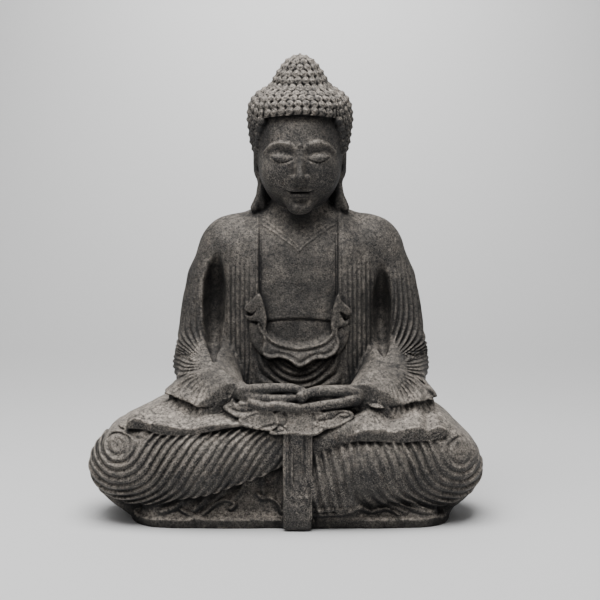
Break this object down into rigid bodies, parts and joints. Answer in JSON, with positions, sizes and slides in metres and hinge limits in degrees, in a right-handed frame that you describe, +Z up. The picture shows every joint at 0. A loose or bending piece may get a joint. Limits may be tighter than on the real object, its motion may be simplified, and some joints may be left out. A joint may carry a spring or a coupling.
{
  "type": "meditating buddha statue",
  "caption": "Seated meditating figure in pleated robes on a low plinth, carved as one block of dark volcanic stone; stands on a flat underside as a garden or room ornament.",
  "frame": {"origin": "on the flat underside, straight below the axis of the head", "axes": "+Z up to the tip of the topknot, the figure faces -Y, +X is on the viewer's right"},
  "size_m": [0.5169, 0.3199, 0.6031],
  "materials": {
    "volcanic_stone": "matt, fine-grained, with pale dust on the ridges and dark recesses"
  },
  "bodies": {
    "root": {"statue": "volcanic_stone"}
  },
  "joints": []
}
